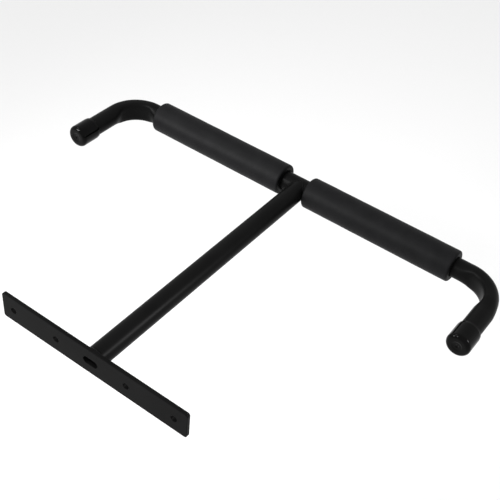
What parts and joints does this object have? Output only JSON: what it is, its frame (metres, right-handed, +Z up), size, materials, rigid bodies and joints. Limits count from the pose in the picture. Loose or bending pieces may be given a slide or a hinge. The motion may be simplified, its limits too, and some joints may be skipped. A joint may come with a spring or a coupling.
{
  "type": "pull up bar",
  "caption": "Joist-mounted pull-up bar: flat screw plate, single stem tube and a crossbar with foam grips and turned-back, vinyl-capped ends.",
  "frame": {"origin": "centre of the plate's mounting face, midway between the screw holes and on the stem's axis", "axes": "+X along the crossbar, +Y along the stem from the mounting face to the crossbar, +Z up as the bar lies flat; the mounting face looks along -Y"},
  "size_m": [0.7544, 0.514, 0.052],
  "materials": {
    "powder_coated_steel": "satin",
    "grip_foam": "matte",
    "cap_vinyl": "gloss"
  },
  "bodies": {
    "root": {"mounting_plate": "powder_coated_steel", "stem_tube": "powder_coated_steel", "crossbar_tube": "powder_coated_steel", "plate_weld": "powder_coated_steel", "crossbar_weld": "powder_coated_steel", "left_foam_grip": "grip_foam", "right_foam_grip": "grip_foam", "left_end_cap": "cap_vinyl", "right_end_cap": "cap_vinyl"}
  },
  "joints": []
}
